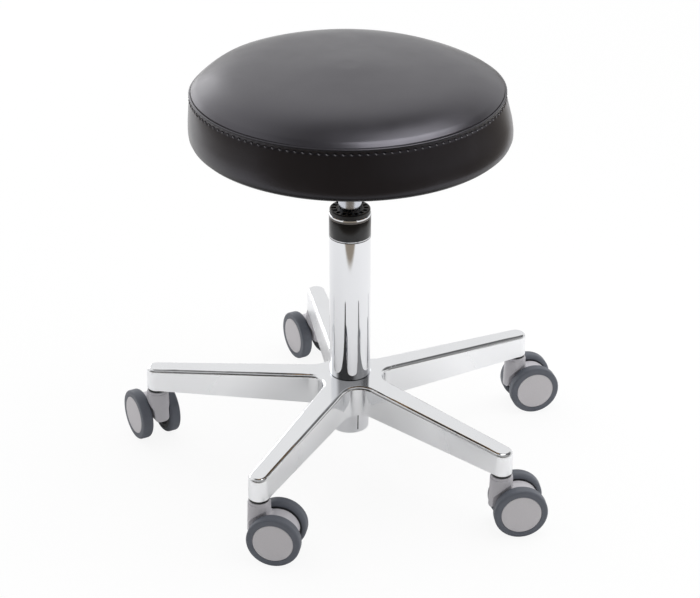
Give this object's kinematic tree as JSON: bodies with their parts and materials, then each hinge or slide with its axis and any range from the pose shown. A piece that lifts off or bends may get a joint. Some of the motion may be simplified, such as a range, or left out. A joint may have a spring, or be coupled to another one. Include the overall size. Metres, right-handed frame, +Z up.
{
  "type": "dental nurse stool",
  "caption": "Round work stool with a padded black seat on a chrome gas-lift column, a polished star base and swivelling twin-wheel casters; height set by a ring under the seat.",
  "frame": {"origin": "the point of the floor on the column's axis, where the wheels' lowest points lie", "axes": "+Z up the column; -Y is the side that faces the camera in the picture; +X to its right"},
  "size_m": [0.5605, 0.5534, 0.519],
  "materials": {
    "polished_aluminium": "polished",
    "chrome": "polished",
    "bright_steel": "satin",
    "black_steel": "satin",
    "black_plastic": "satin",
    "grey_plastic": "satin",
    "dark_grey_plastic": "matte",
    "grey_tread": "matte",
    "black_rubber": "matte",
    "plywood": "matte",
    "seat_foam": "matte",
    "black_leather": "satin"
  },
  "bodies": {
    "base": {"star_base": "polished_aluminium", "caster_stems": "black_steel", "column_tube": "chrome", "guide_bush": "black_plastic", "thrust_bearing": "bright_steel"},
    "rod": {"piston_rod": "bright_steel", "piston": "bright_steel", "rod_bumper": "black_rubber", "retaining_clip": "bright_steel"},
    "seat": {"gas_cylinder": "chrome", "rod_gland": "black_plastic", "seat_plate": "black_steel", "seat_board": "plywood", "seat_bolts": "bright_steel", "seat_nuts": "bright_steel", "cushion_foam": "seat_foam", "cover_border": "black_leather", "cover_top_panel": "black_leather"},
    "release": {"release_ring": "black_steel"},
    "valve_pin": {"release_pin": "bright_steel"},
    "caster_right": {"hood_right": "grey_plastic", "axle_right": "bright_steel"},
    "wheel_right_a": {"core_right_a": "dark_grey_plastic", "tyre_right_a": "grey_tread", "cap_right_a": "grey_plastic"},
    "wheel_right_b": {"core_right_b": "dark_grey_plastic", "tyre_right_b": "grey_tread", "cap_right_b": "grey_plastic"},
    "caster_back": {"hood_back": "grey_plastic", "axle_back": "bright_steel"},
    "wheel_back_a": {"core_back_a": "dark_grey_plastic", "tyre_back_a": "grey_tread", "cap_back_a": "grey_plastic"},
    "wheel_back_b": {"core_back_b": "dark_grey_plastic", "tyre_back_b": "grey_tread", "cap_back_b": "grey_plastic"},
    "caster_left": {"hood_left": "grey_plastic", "axle_left": "bright_steel"},
    "wheel_left_a": {"core_left_a": "dark_grey_plastic", "tyre_left_a": "grey_tread", "cap_left_a": "grey_plastic"},
    "wheel_left_b": {"core_left_b": "dark_grey_plastic", "tyre_left_b": "grey_tread", "cap_left_b": "grey_plastic"},
    "caster_front_left": {"hood_front_left": "grey_plastic", "axle_front_left": "bright_steel"},
    "wheel_front_left_a": {"core_front_left_a": "dark_grey_plastic", "tyre_front_left_a": "grey_tread", "cap_front_left_a": "grey_plastic"},
    "wheel_front_left_b": {"core_front_left_b": "dark_grey_plastic", "tyre_front_left_b": "grey_tread", "cap_front_left_b": "grey_plastic"},
    "caster_front_right": {"hood_front_right": "grey_plastic", "axle_front_right": "bright_steel"},
    "wheel_front_right_a": {"core_front_right_a": "dark_grey_plastic", "tyre_front_right_a": "grey_tread", "cap_front_right_a": "grey_plastic"},
    "wheel_front_right_b": {"core_front_right_b": "dark_grey_plastic", "tyre_front_right_b": "grey_tread", "cap_front_right_b": "grey_plastic"}
  },
  "joints": [
    {"name": "swivel_right", "type": "hinge", "parent": "base", "child": "caster_right", "pos_m": [0.21444, 0.11745, 0.074], "axis": [0, 0, 1], "continuous": true},
    {"name": "roll_right_a", "type": "hinge", "parent": "caster_right", "child": "wheel_right_a", "pos_m": [0.23448, 0.12223, 0.032], "axis": [-0.2317, 0.9728, 0], "continuous": true},
    {"name": "roll_right_b", "type": "hinge", "parent": "caster_right", "child": "wheel_right_b", "pos_m": [0.23448, 0.12223, 0.032], "axis": [-0.2317, 0.9728, 0], "continuous": true},
    {"name": "swivel_back", "type": "hinge", "parent": "base", "child": "caster_back", "pos_m": [-0.04544, 0.24024, 0.074], "axis": [0, 0, 1], "continuous": true},
    {"name": "roll_back_a", "type": "hinge", "parent": "caster_back", "child": "wheel_back_a", "pos_m": [-0.05511, 0.25843, 0.032], "axis": [-0.8829, -0.4695, 0], "continuous": true},
    {"name": "roll_back_b", "type": "hinge", "parent": "caster_back", "child": "wheel_back_b", "pos_m": [-0.05511, 0.25843, 0.032], "axis": [-0.8829, -0.4695, 0], "continuous": true},
    {"name": "swivel_left", "type": "hinge", "parent": "base", "child": "caster_left", "pos_m": [-0.24252, 0.03103, 0.074], "axis": [0, 0, 1], "continuous": true},
    {"name": "roll_left_a", "type": "hinge", "parent": "caster_left", "child": "wheel_left_a", "pos_m": [-0.25245, 0.04908, 0.032], "axis": [-0.8763, -0.4818, 0], "continuous": true},
    {"name": "roll_left_b", "type": "hinge", "parent": "caster_left", "child": "wheel_left_b", "pos_m": [-0.25245, 0.04908, 0.032], "axis": [-0.8763, -0.4818, 0], "continuous": true},
    {"name": "swivel_front_left", "type": "hinge", "parent": "base", "child": "caster_front_left", "pos_m": [-0.10445, -0.22107, 0.074], "axis": [0, 0, 1], "continuous": true},
    {"name": "roll_front_left_a", "type": "hinge", "parent": "caster_front_left", "child": "wheel_front_left_a", "pos_m": [-0.0842, -0.22482, 0.032], "axis": [0.1822, 0.9833, 0], "continuous": true},
    {"name": "roll_front_left_b", "type": "hinge", "parent": "caster_front_left", "child": "wheel_front_left_b", "pos_m": [-0.0842, -0.22482, 0.032], "axis": [0.1822, 0.9833, 0], "continuous": true},
    {"name": "swivel_front_right", "type": "hinge", "parent": "base", "child": "caster_front_right", "pos_m": [0.17797, -0.16765, 0.074], "axis": [0, 0, 1], "continuous": true},
    {"name": "roll_front_right_a", "type": "hinge", "parent": "caster_front_right", "child": "wheel_front_right_a", "pos_m": [0.19845, -0.16543, 0.032], "axis": [-0.108, 0.9942, 0], "continuous": true},
    {"name": "roll_front_right_b", "type": "hinge", "parent": "caster_front_right", "child": "wheel_front_right_b", "pos_m": [0.19845, -0.16543, 0.032], "axis": [-0.108, 0.9942, 0], "continuous": true},
    {"name": "seat_swivel", "type": "hinge", "parent": "base", "child": "rod", "pos_m": [0, 0, 0.05], "axis": [0, 0, 1], "continuous": true},
    {"name": "seat_height", "type": "slide", "parent": "rod", "child": "seat", "axis": [0, 0, 1], "range_m": [-0.03, 0.13]},
    {"name": "release_tilt", "type": "hinge", "parent": "seat", "child": "release", "pos_m": [0.036, 0, 0.4325], "axis": [0, -1, 0], "range_deg": [0, 3.5], "stiffness_Nm_per_rad": 20, "springref_deg": -5.73},
    {"name": "valve_press", "type": "slide", "parent": "seat", "child": "valve_pin", "axis": [0, 0, -1], "range_m": [0, 0.0023]}
  ],
  "couplings": [
    {"joint": "valve_press", "follows": "release_tilt", "m_per_rad": 0.036}
  ]
}
